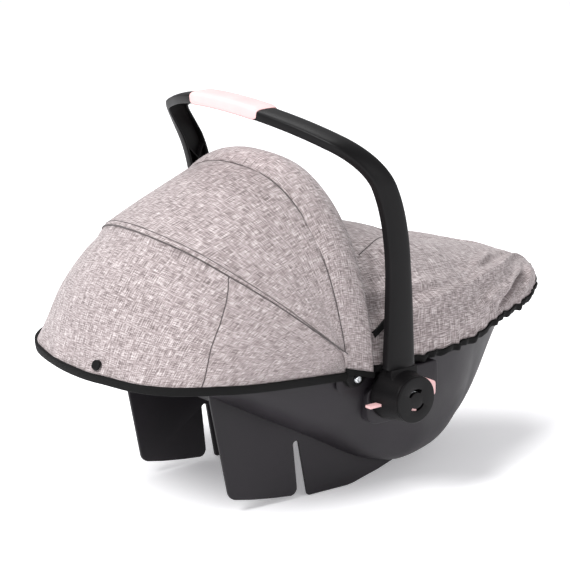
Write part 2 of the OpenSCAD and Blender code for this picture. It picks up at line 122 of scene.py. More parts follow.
def cloth_grid(name, across, along, place):
    """A plain grid, bent into shape: place(u, v) gives the place in mm for u and v from 0 to 1. Its
    UV map is in metres along the cloth, so that a weave keeps its size."""
    deselect()
    bpy.ops.mesh.primitive_grid_add(x_subdivisions=across, y_subdivisions=along, size=2)
    obj = bpy.context.object
    obj.name = obj.data.name = name
    n, m = across + 1, along + 1
    grid = np.zeros((m, n, 3))
    index = {}
    for v in obj.data.vertices:
        i, j = round((v.co.y + 1) / 2 * along), round((v.co.x + 1) / 2 * across)
        grid[i, j] = place(j / across, i / along)
        index[v.index] = (i, j)
        v.co = Vector(grid[i, j]) * MM
    run_u = np.linalg.norm(np.diff(grid, axis=1), axis=2).mean(0)
    run_v = np.linalg.norm(np.diff(grid, axis=0), axis=2).mean(1)
    u_at = np.concatenate([[0], np.cumsum(run_u)]) * MM
    v_at = np.concatenate([[0], np.cumsum(run_v)]) * MM
    layer = obj.data.uv_layers.active
    for loop in obj.data.loops:
        i, j = index[loop.vertex_index]
        layer.data[loop.index].uv = (u_at[j], v_at[i])
    obj.data.polygons.foreach_set("use_smooth", [True] * len(obj.data.polygons))
    return obj


def face_away(obj, centre_mm):
    """Turns a sheet's faces so that they look away from a point."""
    centre = Vector(centre_mm) * MM
    looks = sum(p.normal.dot(p.center - centre) * p.area for p in obj.data.polygons)
    if looks < 0:
        edit(obj, lambda: bpy.ops.mesh.flip_normals())


def thicken(obj, thickness_mm, offset=-1):
    finish_with(obj, "SOLIDIFY", thickness=thickness_mm * MM, offset=offset, use_even_offset=False)


def copy_of(node, name=None):
    """A copy of a CAD node, merged into one skin, that stands for the node."""
    obj = NODES[node].copy()
    obj.data = NODES[node].data.copy()
    for key in list(obj.keys()):
        if key.startswith("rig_"):
            del obj[key]
    obj.parent = None
    bpy.context.scene.collection.objects.link(obj)
    obj.name = obj.data.name = name or node + "_finished"
    edit(obj, lambda: bpy.ops.mesh.remove_doubles(threshold=2e-6),
         lambda: bpy.ops.mesh.tris_convert_to_quads())
    return obj


def polished(node, body, material, edge_mm=0.6, steps=2):
    """A hard part: its CAD shape with worn, rounded edges."""
    obj = copy_of(node)
    finish_with(obj, "BEVEL", width=edge_mm * MM, segments=steps, limit_method="ANGLE",
                angle_limit=math.radians(38), use_clamp_overlap=True)
    smooth_by_angle(obj, 40)
    paint(obj, material)
    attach(obj, body)
    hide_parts(node)
    return obj


# ---------------------------------------------------------------- materials
def linear(code):
    values = [int(code[i:i + 2], 16) / 255 for i in (1, 3, 5)]
    return [c / 12.92 if c <= 0.04045 else ((c + 0.055) / 1.055) ** 2.4 for c in values] + [1]


def new_material(name, roughness, **shader):
    material = bpy.data.materials.new(name)
    material.use_nodes = True
    bsdf = material.node_tree.nodes["Principled BSDF"]
    bsdf.inputs["Roughness"].default_value = roughness
    for key, value in shader.items():
        bsdf.inputs[key.replace("_", " ")].default_value = value
    return material, bsdf


def add(material, kind, settings=None, **links):
    """Adds a node: settings go to its properties, links to its sockets, as values or outputs."""
    node = material.node_tree.nodes.new(kind)
    for key, value in (settings or {}).items():
        setattr(node, key, value)
    for key, value in links.items():
        socket = node.inputs[int(key[1:]) if key[0] == "i" and key[1:].isdigit()
                             else key.replace("_", " ")]
        if isinstance(value, bpy.types.NodeSocket):
            material.node_tree.links.new(value, socket)
        else:
            socket.default_value = value
    return node


def ramp(material, factor, stops):
    node = add(material, "ShaderNodeValToRGB", Fac=factor)
    while len(node.color_ramp.elements) < len(stops):
        node.color_ramp.elements.new(0.5)
    for element, (place, colour) in zip(node.color_ramp.elements, stops):
        element.position = place
        element.color = linear(colour)
    return node.outputs["Color"]


def join(material, output, bsdf, socket):
    material.node_tree.links.new(output, bsdf.inputs[socket])


def moulded(name, dark, mid, light, roughness, grain_mm=0.9, bump=0.12, shine=0.3):
    """Injection-moulded plastic: a spark-eroded grain breaks up its gloss, and handling has left
    slow patches that are a little smoother. The grain is coarser than the real 0.2 mm."""
    material, bsdf = new_material(name, roughness)
    bsdf.inputs["Specular IOR Level"].default_value = shine
    where = add(material, "ShaderNodeTexCoord").outputs["Object"]
    grain = add(material, "ShaderNodeTexNoise", Vector=where, Scale=1 / (grain_mm * MM),
                Detail=3.0, Roughness=0.6).outputs["Fac"]
    patches = add(material, "ShaderNodeTexNoise", Vector=where, Scale=14.0,
                  Detail=4.0).outputs["Fac"]
    colour = ramp(material, patches, [(0.25, dark), (0.5, mid), (0.8, light)])
    gloss = add(material, "ShaderNodeMapRange", i0=patches, i1=0.3, i2=0.7, i3=roughness - 0.06,
                i4=roughness + 0.08).outputs["Result"]
    relief = add(material, "ShaderNodeBump", Strength=bump, Distance=0.0004, Height=grain)
    join(material, colour, bsdf, "Base Color")
    join(material, gloss, bsdf, "Roughness")
    join(material, relief.outputs["Normal"], bsdf, "Normal")
    return material


def woven(name, stops, thread_mm, slub_mm, bump, roughness=0.9, sheen=0.15):
    """Plain-woven cloth on its own UV map in metres. Threads run both ways; each carries long
    thick and thin places, so the colour shows as short streaks that cross."""
    material, bsdf = new_material(name, roughness, Sheen_Weight=sheen, Sheen_Roughness=0.6)
    bsdf.inputs["Specular IOR Level"].default_value = 0.25
    where = add(material, "ShaderNodeUVMap", {"uv_map": "UVMap"}).outputs["UV"]
    streaks = []
    for fine, long in ((thread_mm, slub_mm), (slub_mm, thread_mm)):
        lay = add(material, "ShaderNodeMapping", Vector=where,
                  Scale=(1 / (fine * MM), 1 / (long * MM), 1)).outputs["Vector"]
        streaks.append(add(material, "ShaderNodeTexNoise", Vector=lay, Scale=1.0, Detail=1.2,
                           Roughness=0.5).outputs["Fac"])
    both = add(material, "ShaderNodeMath", {"operation": "ADD"}, i0=streaks[0], i1=streaks[1])
    half = add(material, "ShaderNodeMath", {"operation": "MULTIPLY"}, i0=both.outputs[0], i1=0.5)
    cloud = add(material, "ShaderNodeTexNoise", Vector=where, Scale=38.0, Detail=3.0).outputs["Fac"]
    mixed = add(material, "ShaderNodeMath", {"operation": "MULTIPLY_ADD"}, i0=cloud, i1=0.07,
                i2=half.outputs[0])
    shifted = add(material, "ShaderNodeMath", {"operation": "SUBTRACT"}, i0=mixed.outputs[0],
                  i1=0.035)
    colour = ramp(material, shifted.outputs[0], stops)
    relief = add(material, "ShaderNodeBump", Strength=bump, Distance=0.0006, Height=half.outputs[0])
    join(material, colour, bsdf, "Base Color")
    join(material, relief.outputs["Normal"], bsdf, "Normal")
    return material


def ribbed(name, dark, light, pitch_mm, slant, roughness=0.75):
    """Narrow woven tape: twill lines cross it at a slant, a little wider than the real 0.6 mm."""
    material, bsdf = new_material(name, roughness)
    bsdf.inputs["Specular IOR Level"].default_value = 0.15
    where = add(material, "ShaderNodeUVMap", {"uv_map": "UVMap"}).outputs["UV"]
    turned = add(material, "ShaderNodeMapping", Vector=where, Rotation=(0, 0, slant),
                 Scale=(1 / (pitch_mm * MM), 1 / (pitch_mm * MM), 1)).outputs["Vector"]
    lines = add(material, "ShaderNodeTexWave", {"bands_direction": "X"}, Vector=turned, Scale=0.32,
                Distortion=0.6, Detail=1.0).outputs["Fac"]
    fuzz = add(material, "ShaderNodeTexNoise", Vector=where, Scale=900.0, Detail=2.0).outputs["Fac"]
    blend = add(material, "ShaderNodeMath", {"operation": "MULTIPLY"}, i0=lines, i1=fuzz)
    colour = ramp(material, blend.outputs[0], [(0.1, dark), (0.7, light)])
    join(material, colour, bsdf, "Base Color")
    relief = add(material, "ShaderNodeBump", Strength=0.4, Distance=0.0004, Height=lines)
    join(material, relief.outputs["Normal"], bsdf, "Normal")
    return material


def drawn_steel(name, colour, roughness):
    """Zinc-plated steel: bright, with fine turning marks that spread its highlights."""
    material, bsdf = new_material(name, roughness, Metallic=1.0)
    where = add(material, "ShaderNodeTexCoord").outputs["Object"]
    marks = add(material, "ShaderNodeTexNoise", Vector=where, Scale=1600.0,
                Detail=2.0).outputs["Fac"]
    dull = add(material, "ShaderNodeTexNoise", Vector=where, Scale=90.0, Detail=3.0).outputs["Fac"]
    join(material, ramp(material, dull, [(0.3, colour), (0.8, "#e4e6e8")]), bsdf, "Base Color")
    relief = add(material, "ShaderNodeBump", Strength=0.1, Distance=0.0002, Height=marks)
    join(material, relief.outputs["Normal"], bsdf, "Normal")
    return material


LINEN_STOPS = [(0.37, "#625858"), (0.46, "#867b7b"), (0.54, "#a39898"), (0.64, "#cdc5c5")]
# Melange polyester linen: threads of light and mid grey, 0.8 mm apart as drawn, real ones 0.5 mm
melange_linen = woven("melange_polyester_linen", LINEN_STOPS, 0.8, 11.0, 0.6)
# Painted shade: the same linen made darker, for thin lines that stand in for the shadow where a seam pulls
# the cloth in
seam_shade_cloth = woven("painted_seam_shade_linen", [(0.36, "#3d3737"), (0.5, "#4f4848"), (0.66, "#686060")],
                   0.95, 4.0, 0.5)
# Brushed cotton lining: even, pale and matt
lining_cloth = woven("brushed_cotton_lining",
                     [(0.36, "#a9a3a3"), (0.5, "#bdb7b6"), (0.66, "#cfcac8")], 1.4, 5.0, 0.3)
# Charcoal polypropylene with a fine spark grain, half matt
charcoal_polypropylene = moulded("charcoal_polypropylene", "#171418", "#1d191e", "#242025", 0.50)
# The handle's nylon is the same colour with a finer, silkier grain
charcoal_nylon = moulded("charcoal_nylon", "#0b0a0b", "#0f0e0f", "#141314", 0.44, 0.7, 0.08, 0.14)
# Pale pink thermoplastic rubber: soft sheen, slightly deeper where hands rub it
blush_rubber = moulded("blush_thermoplastic_rubber", "#dba9aa", "#e3b7b7", "#e8c2c1",
                       0.5, 0.8, 0.06)
# Black polyester twill tape
twill_tape = ribbed("black_twill_tape", "#050505", "#161516", 1.4, math.radians(38))
# Nylon belt webbing with ribs along its length
belt_webbing = ribbed("nylon_belt_webbing", "#1c1c1e", "#414145", 1.8, 0.0)
zinc_steel = drawn_steel("zinc_plated_steel", "#b9bdc2", 0.28)
ground_steel = drawn_steel("sintered_steel", "#7f8285", 0.42)
# Red polyoxymethylene press button, moulded and smooth
red_acetal = moulded("red_acetal", "#9a211e", "#ad2a26", "#b8342f", 0.35, 0.8, 0.04)
# Expanded polystyrene: white, with the outlines of its beads
bead_foam, foam_shader = new_material("expanded_polystyrene", 0.8)
bead_place = add(bead_foam, "ShaderNodeTexCoord").outputs["Object"]
beads = add(bead_foam, "ShaderNodeTexVoronoi", Vector=bead_place, Scale=260.0).outputs["Distance"]
join(bead_foam, ramp(bead_foam, beads, [(0.0, "#f4f3f0"), (0.8, "#dddbd6")]), foam_shader,
     "Base Color")
join(bead_foam, add(bead_foam, "ShaderNodeBump", Strength=0.3, Distance=0.0006,
                    Height=beads).outputs["Normal"], foam_shader, "Normal")


# ---------------------------------------------------------------- curves shared with the frame
def spow(v, e):
    return math.copysign(abs(v) ** e, v)


def mix(a, b, k):
    return a + (b - a) * k


def ease(k):
    k = min(1, max(0, k))
    return k * k * (3 - 2 * k)


def smooth_list(points, x):
    """Smooth value through a short list of (place, value)."""
    xs = [p[0] for p in points]
    x = min(xs[-1], max(xs[0], x))
    i = max(0, min(len(points) - 2, int(np.searchsorted(xs, x, side="right")) - 1))

    def slope(j):
        a, b = max(0, j - 1), min(len(points) - 1, j + 1)
        return (points[b][1] - points[a][1]) / (points[b][0] - points[a][0])
    h = xs[i + 1] - xs[i]
    t = (x - xs[i]) / h
    return (points[i][1] * (1 + 2 * t) * (1 - t) ** 2 + points[i + 1][1] * t * t * (3 - 2 * t)
            + h * slope(i) * t * (1 - t) ** 2 - h * slope(i + 1) * t * t * (1 - t))


MID_X, RIM_HALF, REAR_REACH, TOE_REACH, WALL = -10, 164, 302, 350, 4
KEEL = [(-312, 199.5), (-200, 143), (-60, 67.5), (20, 25), (95, 8), (190, 9), (262, 78),
        (320, 121), (350, 143)]
RIM = [(-312, 222), (-250, 218), (-150, 202), (-60, 189), (60, 185), (372, 184)]
SQUARE = [(-250, 2.7), (-60, 3.2), (60, 4), (180, 2.1), (350, 1.8)]


def reach(u, off):
    return REAR_REACH + MID_X - off if u < 0 else TOE_REACH - MID_X - off


def plan(u):
    if u < 0:
        return math.sqrt(max(0, 1 - (-u) ** 3.4))
    return max(0, 1 - u ** 2.2) ** 1.1


def bucket_at(u, t, off):
    """Place on the bucket: u runs from head to foot, t from the right rim to the left."""
    station = MID_X + u * reach(u, 0)
    half = max(2, (RIM_HALF - off) * plan(u))
    top = smooth_list(RIM, station)
    low = min(top - 2, smooth_list(KEEL, station) + off)
    e = 2 / np.interp(station, [s[0] for s in SQUARE], [s[1] for s in SQUARE])
    return [MID_X + u * reach(u, off), -half * spow(math.cos(t), e),
            top - (top - low) * spow(math.sin(t), e)]


def floor_z(x, y, off):
    u = (x - MID_X) / reach(-1 if x < MID_X else 1, off)
    half = (RIM_HALF - off) * plan(u)
    top, low = smooth_list(RIM, x), smooth_list(KEEL, x) + off
    n = np.interp(x, [s[0] for s in SQUARE], [s[1] for s in SQUARE])
    return top - (top - low) * max(0, 1 - (abs(y) / half) ** n) ** (1 / n)


def rounded(points, steps=8):
    """Outline whose corners are rounded: each point is (x, y, radius)."""
    out = []
    for i, (bx, by, r) in enumerate(points):
        if r <= 0:
            out.append((bx, by))
            continue
        a, c = points[i - 1], points[(i + 1) % len(points)]
        b = Vector((bx, by))
        u, w = (Vector(a[:2]) - b).normalized(), (Vector(c[:2]) - b).normalized()
        half = math.acos(max(-1, min(1, u.dot(w)))) / 2
        mid = b + (u + w).normalized() * (r / math.sin(half))
        s, e = b + u * (r / math.tan(half)) - mid, b + w * (r / math.tan(half)) - mid
        turn = math.atan2(s.x * e.y - s.y * e.x, s.dot(e))
        start = math.atan2(s.y, s.x)
        out += [tuple(mid + r * Vector((math.cos(start + turn * k / steps),
                                        math.sin(start + turn * k / steps))))
                for k in range(steps + 1)]
    return out


def plate_piece(name, outline, low, high, to_place, edge_mm=1.0):
    """A flat plate: outline in its own plane, low and high along its thickness."""
    n = len(outline)
    points = [to_place(x, y, d) for d in (low, high) for x, y in outline]
    faces = [list(range(n))[::-1], list(range(n, 2 * n))]
    faces += [[i, (i + 1) % n, n + (i + 1) % n, n + i] for i in range(n)]
    obj = mesh_piece(name, points, faces)
    outwards(obj)
    finish_with(obj, "BEVEL", width=edge_mm * MM, segments=3, limit_method="ANGLE",
                angle_limit=math.radians(50), use_clamp_overlap=True)
    smooth_by_angle(obj, 40)
    return obj


def settle(obj, body, material, slot, *nodes):
    paint(obj, material)
    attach(obj, body)
    if nodes:
        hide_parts(*nodes)
    return obj


# ---------------------------------------------------------------- bucket and runners
def build_bucket():
    def place(u, v):
        return bucket_at(-math.cos(math.pi * v), math.pi * u, 0)
    bucket = cloth_grid("bucket_shell", 96, 150, place)
    face_away(bucket, (0, 0, 190))
    thicken(bucket, WALL)
    smooth_by_angle(bucket, 50)
    return settle(bucket, "seat", charcoal_polypropylene, "charcoal_plastic", "shell")


COVER_REAR, COVER_REACH, COVER_HALF, TOE_TIP = -22, 383, 166, 10


def cover_plan(x):
    return max(0, 1 - ((x - MID_X) / (COVER_REACH - MID_X)) ** 2) ** 0.7


def build_toe_rim():
    edge = []
    for k in range(61):
        x = mix(COVER_REAR + 2, COVER_REACH - 12, math.sin(math.pi / 2 * k / 60))
        edge.append((x, (COVER_HALF - 3) * cover_plan(x) - 3))
    ring = [(x, -y) for x, y in edge] + [(x, y) for x, y in edge[-2::-1]]
    inner = []
    for x, y in ring:
        inner.append((x - 8 * ease((x + 20) / 340), math.copysign(max(0, abs(y) - 9), y)))
    n = len(ring)
    points = [(x, y, z) for z in (180, 184) for x, y in ring]
    points += [(x, y, z) for z in (180, 184) for x, y in inner]
    faces = []
    for i in range(n - 1):
        faces += [[i, i + 1, n + i + 1, n + i], [n + i, n + i + 1, 3 * n + i + 1, 3 * n + i],
                  [2 * n + i, 2 * n + i + 1, i + 1, i],
                  [3 * n + i, 3 * n + i + 1, 2 * n + i + 1, 2 * n + i]]
    faces += [[0, n, 3 * n, 2 * n], [n - 1, 3 * n - 1, 4 * n - 1, 2 * n - 1]]
    rim = mesh_piece("toe_rim", points, faces)
    outwards(rim)
    smooth_by_angle(rim, 40)
    return settle(rim, "seat", charcoal_polypropylene, "charcoal_plastic")


SKIRT_EDGE = [(70, 18.5, 6), (45, 10.5, 30), (22, 5, 20), (8, 1.4, 10), (-2, 0, 8), (-62, 0, 4),
              (-76, 72, 3.9), (-84, 72, 3.9), (-76.5, 3.5, 9), (-112, 7.5, 30), (-145, 12.5, 30),
              (-176, 19, 14)]
SKIRT_OUT, SKIRT_T, SPLAY = 94, 4, math.radians(1.9)


def build_skirt(name, side):
    outline = [(x, floor_z(x, SKIRT_OUT, 0) + 8, 0) for x in range(-206, 71, 12)]
    outline = rounded(outline + SKIRT_EDGE)

    def to_place(x, z, depth):
        a, b = x - MID_X, SKIRT_OUT - depth
        return (MID_X + a * math.cos(SPLAY) + depth * math.sin(SPLAY),
                side * (b + a * math.sin(SPLAY)), z)
    skirt = plate_piece(name, outline, 0, SKIRT_T, to_place, 0.9)
    return settle(skirt, "seat", charcoal_polypropylene, "charcoal_plastic")


HUB_PAD = [(-36, -36, 16), (-36, 4, 10), (-10, 23, 10), (72, 24.5, 5), (74, -20, 20), (40, -38, 20)]
AXIS_Z = 138


def build_hub_seat(name, side):
    def to_place(x, z, depth):
        return (x, side * depth, AXIS_Z + z)
    pad = plate_piece(name, rounded(HUB_PAD), 146, 170.5, to_place, 1.6)
    return settle(pad, "seat", charcoal_polypropylene, "charcoal_plastic")


# ---------------------------------------------------------------- handle
HANDLE_H, ARM_HALF, CROWN_HALF, CROWN_R, CORNER_R, ARM_START = 336, 194, 191, 423, 60, 34
ARM_T, CHANNEL_WALL, SWEEP_BACK, SWEEP_POWER = 12, 3, 108, 5.1
RIB_BAYS, RIB_PITCH, RIB_RUN = 5, 40, 38
CORNER_Y = CROWN_HALF - CORNER_R
CROWN_Z = HANDLE_H - CROWN_R
CORNER_Z = CROWN_Z + math.sqrt((CROWN_R - CORNER_R) ** 2 - CORNER_Y ** 2)
JOIN = math.atan2(CORNER_Z - CROWN_Z, CORNER_Y)


def bow_line():
    half = []
    for k in range(29):
        z = mix(ARM_START, CORNER_Z, k / 28)
        half.append((-mix(ARM_HALF, CROWN_HALF, z / CORNER_Z), z, 0))
    for k in range(1, 19):
        a = JOIN * k / 18
        half.append((-CORNER_Y - CORNER_R * math.cos(a), CORNER_Z + CORNER_R * math.sin(a), a))
    for k in range(1, 29):
        a = mix(JOIN, math.pi / 2, k / 28)
        half.append((-CROWN_R * math.cos(a), CROWN_Z + CROWN_R * math.sin(a), a))
    return half + [(-y, z, math.pi - a) for y, z, a in half[-2::-1]]


def arm_w(z):
    return 31 + 11 * max(0, 1 - z / 150)


def flared(z):
    """The bow is a little wider than its ribs' channel at the foot of each arm."""
    return arm_w(z) + 2.4 * max(0, 1 - z / 200)


def arm_lean(z):
    """The arms lean back a little before they sweep."""
    k = min(1, max(0, z / HANDLE_H))
    return -3.8 * (1 - k * k)


def bow_at(p, x, depth):
    sweep = -SWEEP_BACK * (max(0, p[1]) / HANDLE_H) ** SWEEP_POWER
    return (sweep + arm_lean(p[1]) + x, p[0] + depth * math.cos(p[2]),
            AXIS_Z + p[1] - depth * math.sin(p[2]))


def channel(w):
    """Half-round back, open inner side."""
    back = [(w / 2 * math.sin(a), 3.2 - 4.0 * math.cos(a) ** 0.8) for a in
            [math.radians(d) for d in (-90, -76, -60, -42, -22, 0, 22, 42, 60, 76, 90)]]
    h = w / 2
    return back + [(h, ARM_T), (h - CHANNEL_WALL, ARM_T), (h - CHANNEL_WALL, CHANNEL_WALL),
                   (CHANNEL_WALL - h, CHANNEL_WALL), (CHANNEL_WALL - h, ARM_T), (-h, ARM_T)]


def swept(name, rings):
    m = len(rings[0])
    points = [p for ring in rings for p in ring]
    faces = [[i * m + j, i * m + (j + 1) % m, (i + 1) * m + (j + 1) % m, (i + 1) * m + j]
             for i in range(len(rings) - 1) for j in range(m)]
    faces += [list(range(m))[::-1], [(len(rings) - 1) * m + j for j in range(m)]]
    obj = mesh_piece(name, points, faces)
    outwards(obj)
    return obj


def build_handle():
    bow = swept("handle_bow", [[bow_at(p, x, d) for x, d in channel(flared(p[1]))]
                               for p in bow_line()])
    finish_with(bow, "BEVEL", width=0.7 * MM, segments=2, limit_method="ANGLE",
                angle_limit=math.radians(60), use_clamp_overlap=True)
    smooth_by_angle(bow, 45)
    settle(bow, "carry_handle", charcoal_nylon, "charcoal_plastic", "handle")
    points, faces = [], []
    for side in (-1, 1):
        for bay in range(RIB_BAYS):
            for way in (-1, 1):
                z0 = ARM_START + 6 + bay * RIB_PITCH
                ends = []
                for z, s in ((z0, -way), (z0 + RIB_RUN, way)):
                    y = side * mix(ARM_HALF, CROWN_HALF, z / CORNER_Z)
                    p = (y, z, 0 if side < 0 else math.pi)
                    for depth in (1.5, ARM_T - 1.2):
                        for dz in (-0.8, 0.8):
                            q = bow_at(p, s * (arm_w(z) / 2 - 2), depth)
                            ends.append((q[0], q[1], q[2] + dz))
                b = len(points)
                points += ends
                faces += [[b + i for i in f] for f in ((0, 1, 3, 2), (4, 6, 7, 5), (0, 4, 5, 1),
                                                       (2, 3, 7, 6), (0, 2, 6, 4), (1, 5, 7, 3))]
    ribs = mesh_piece("handle_ribs", points, faces)
    outwards(ribs)
    settle(ribs, "carry_handle", charcoal_nylon, "charcoal_plastic")


def build_grip():
    """Soft sleeve round the crown, with rounded shoulders at its ends."""
    half = math.asin(64 / CROWN_R)
    rings = []
    for k in range(-26, 27):
        a = half * k / 26
        near_end = max(0, abs(k) - 22) / 4
        out = 2.0 - 1.9 * near_end ** 2
        p = (-CROWN_R * math.sin(a), CROWN_Z + CROWN_R * math.cos(a), math.pi / 2 - a)
        w, top, low = arm_w(p[1]) / 2 + out, -1 - out, ARM_T + out
        mid = (top + low) / 2
        ring = []
        for d in range(0, 360, 9):
            c, s = math.cos(math.radians(d)), math.sin(math.radians(d))
            ring.append(bow_at(p, w * spow(c, 0.42), mid + (low - mid) * spow(s, 0.5)))
        rings.append(ring)
    grip = swept("soft_grip", rings)
    smooth_by_angle(grip, 50)
    settle(grip, "carry_handle", blush_rubber, "blush_plastic", "grip")


# ---------------------------------------------------------------- hood
def hoop(foot, lean, a, b, n, t):
    r = b * spow(math.sin(t), 2 / n)
    return np.array([foot[0] - r * math.sin(lean), -a * spow(math.cos(t), 2 / n),
                     foot[1] + r * math.cos(lean)])


def visor_edge(t):
    return hoop((-31.5, 166.8), math.radians(2.2), 171.3, 230, 2.39, t)


def front_seam(t):
    return hoop((-72, 180), math.radians(6.4), 171.3, 216.3, 2.42, t)


def rear_seam(t):
    return hoop((-74, 199), math.radians(51), 175, 221.5, 2.12, t)


def hem_at(t, out=0.0, drop=0.0):
    x = -72 - (258 + out) * max(0, math.sin(t)) ** 0.38
    return np.array([x, -(174 + out) * math.cos(t), 175 + 15 * min(1, (-72 - x) / 176) - drop])


def valley(k, width=0.05):
    """How far a panel's edge rolls into its seam: 1 at either edge, 0 away from it."""
    return math.exp(-(k / width) ** 2) + math.exp(-((1 - k) / width) ** 2)


def crease(x, y, scale, seed):
    return noise.noise(Vector((x * scale, y * scale, seed)))


# The cloth stands out a little over the bows' plates at the hinge
FOOT_SPREAD, FOOT_RUN = 0.021, 0.07


def foot_spread(u):
    return 1 + FOOT_SPREAD * math.exp(-(min(u, 1 - u) / FOOT_RUN) ** 2)


def visor_at(u, v):
    t = math.pi * u
    lift = 11 * math.sin(math.pi * v) ** 0.9 - 1.6 * valley(v, 0.07)
    p = mix(visor_edge(t), front_seam(t), v)
    lift += 1.6 * crease(u * 9, v * 1.2, 1.0, 3.1)
    p[1] *= foot_spread(u)
    return p + lift * math.sin(t) ** 0.6 * np.array([0.15, -0.45 * math.cos(t), 0.9])


def panel_at(u, v):
    t = math.pi * u
    p = mix(front_seam(t), rear_seam(t), v)
    lift = 1.5 * math.sin(math.pi * v) - 1.8 * valley(v, 0.035)
    low = math.exp(-((min(u, 1 - u) - 0.09) / 0.07) ** 2)
    lift += 2.2 * crease(u * 8, v * 1.6, 1.0, 7.7) \
        + 3.0 * low * math.sin(9 * v + 2) * math.sin(math.pi * v)
    p[1] *= foot_spread(u)
    return p + lift * math.sin(t) ** 0.6 * np.array([-0.35, -0.45 * math.cos(t), 0.85])


def side_seam(v):
    return float(np.interp(v, (0, 0.2, 0.375, 0.6, 0.9, 1),
                           (0.263, 0.231, 0.212, 0.194, 0.163, 0.155)))


def back_at(u, v):
    t = math.pi * u
    p = mix(rear_seam(t), hem_at(t), v)
    swell = 8 * math.sin(math.pi * v) + 3.5 * math.sin(math.pi * v) ** 3
    swell -= 3.0 * math.exp(-((v - 0.09) / 0.07) ** 2)
    swell -= 2.0 * math.exp(-(v / 0.03) ** 2)
    swell -= 1.6 * math.exp(-((min(u, 1 - u) - side_seam(v)) / 0.006) ** 2)
    swell += 3.5 * crease(u * 6, v * 2.0, 1.0, 1.3) * math.sin(math.pi * v)
    swell += 1.2 * math.sin(t) * math.sin(46 * u) * ease((v - 0.7) / 0.3)
    return p + swell * math.sin(t) ** 0.7 * np.array([-0.9, -0.35 * math.cos(t), 0.45])


def back_weights(obj):
    """The rear panel hangs from the bow: its top turns with the bow and its hem stays."""
    for v in obj.data.vertices:
        top = 0.009 + 0.14 * max(0, 1 - (v.co.y / 0.175) ** 2) ** 0.5
        obj.data.attributes["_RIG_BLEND"].data[v.index].value = ease((v.co.z - 0.19) / top)


def fan_blend(obj, pivot, near, far):
    """The cloth fans open about the hinge: a point's share of the turn goes with its angle."""
    for v in obj.data.vertices:
        angle = math.degrees(math.atan2(v.co.z - pivot[1], -(v.co.x - pivot[0])))
        weight = ease((angle - far) / (near - far))
        obj.data.attributes["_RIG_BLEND"].data[v.index].value = weight


CLOTH_T = 1.4
HINGE = (-0.0535, 0.1635)


def build_hood():
    made = {}
    for name, across, along, place in (("hood_visor_cloth", 150, 22, visor_at),
                                       ("hood_panel_cloth", 150, 60, panel_at),
                                       ("hood_back_cloth", 200, 90, back_at)):
        sheet = cloth_grid(name, across, along, place)
        face_away(sheet, (-90, 0, 180))
        made[name] = sheet
        thicken(sheet, CLOTH_T)
        paint(sheet, melange_linen)
    visor, panel, back = made.values()
    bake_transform(panel, "rear_hoop", "front_hoop", start=(-0.19, 0, 0.33), end=(-0.085, 0, 0.36))
    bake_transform(back, "seat", "rear_hoop", start=(-0.27, 0, 0.22), end=(-0.21, 0, 0.30))
    fan_blend(panel, HINGE, 82, 44)
    back_weights(back)
    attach(visor, "front_hoop")
    for piece, node in ((visor, "hood_visor"), (panel, "hood_panel"), (back, "hood_back")):
        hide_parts(node)
    return made


def tape_strip(name, count, line, width):
    """Folded tape: a strip with rounded edges along a line of (point, across, out) vectors."""
    profile = [(-0.47, -1.7), (-0.5, 0.2), (-0.42, 0.8), (0.0, 1.0), (0.42, 0.8), (0.5, 0.2),
               (0.47, -1.7)]

    def place(u, v):
        point, across, out = line(v)
        s = u * (len(profile) - 1)
        i = min(len(profile) - 2, int(s))
        a = mix(profile[i][0], profile[i + 1][0], s - i)
        b = mix(profile[i][1], profile[i + 1][1], s - i)
        return point + across * a * width + out * b
    return cloth_grid(name, 12, count, place)


def seam_shade_line(name, path, radius_mm):
    """A thin round line along a path of places in mm, in the darker seam linen: painted shade along a seam's
    crease.
    """
    path = [np.array(p, float) for p in path]
    rings = []
    for i, p in enumerate(path):
        ahead = path[min(i + 1, len(path) - 1)] - path[max(i - 1, 0)]
        ahead = ahead / (np.linalg.norm(ahead) or 1)
        side = np.cross(ahead, [0.31, 0.17, 0.93])
        side = side / (np.linalg.norm(side) or 1)
        up = np.cross(side, ahead)
        rings.append([p + radius_mm * (side * math.cos(a) + up * math.sin(a))
                      for a in [math.pi * k / 3 for k in range(6)]])
    line = swept(name, rings)
    line.data.polygons.foreach_set("use_smooth", [True] * len(line.data.polygons))
    layer = line.data.uv_layers.new(name="UVMap")
    for loop in line.data.loops:
        co = line.data.vertices[loop.vertex_index].co
        layer.data[loop.index].uv = (co.x + co.z, co.y)
    # painted shade: the line takes the darker seam linen
    paint(line, seam_shade_cloth)
    return line


def build_hood_seams():
    rows = [k / 90 for k in range(91)]
    for name, place, body in (("front_hood_seam", lambda u: panel_at(u, 0.0), "front_hoop"),
                              ("rear_hood_seam", lambda u: panel_at(u, 1.0), "rear_hoop"),
                              ("rear_hood_topstitch", lambda u: panel_at(u, 0.955), "rear_hoop")):
        seam = seam_shade_line(name, [place(u) for u in rows], 0.55 if "top" in name else 0.9)
        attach(seam, body)
    for word, flip in (("right", False), ("left", True)):
        path = []
        for k in range(41):
            v = k / 40
            u = side_seam(v)
            path.append(back_at(1 - u if flip else u, v))
        seam = seam_shade_line("side_hood_seam_" + word, path, 0.75)
        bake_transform(seam, "seat", "rear_hoop", start=(-0.27, 0, 0.22), end=(-0.21, 0, 0.30))
        back_weights(seam)
    for word, side in (("right", -1), ("left", 1)):
        def line(v):
            p = np.array([mix(-30.5, -73.5, v), side * 175.3, mix(167.6, 180.6, v) - 3.2])
            return p, np.array([0.0, 0.0, 1.0]), np.array([0.0, side * 1.2, 0.0])
        band = tape_strip("visor_tape_" + word, 24, line, 7.0)
        face_away(band, (-50, 0, 172))
        thicken(band, 1.0)
        settle(band, "front_hoop", twill_tape, "black_tape")


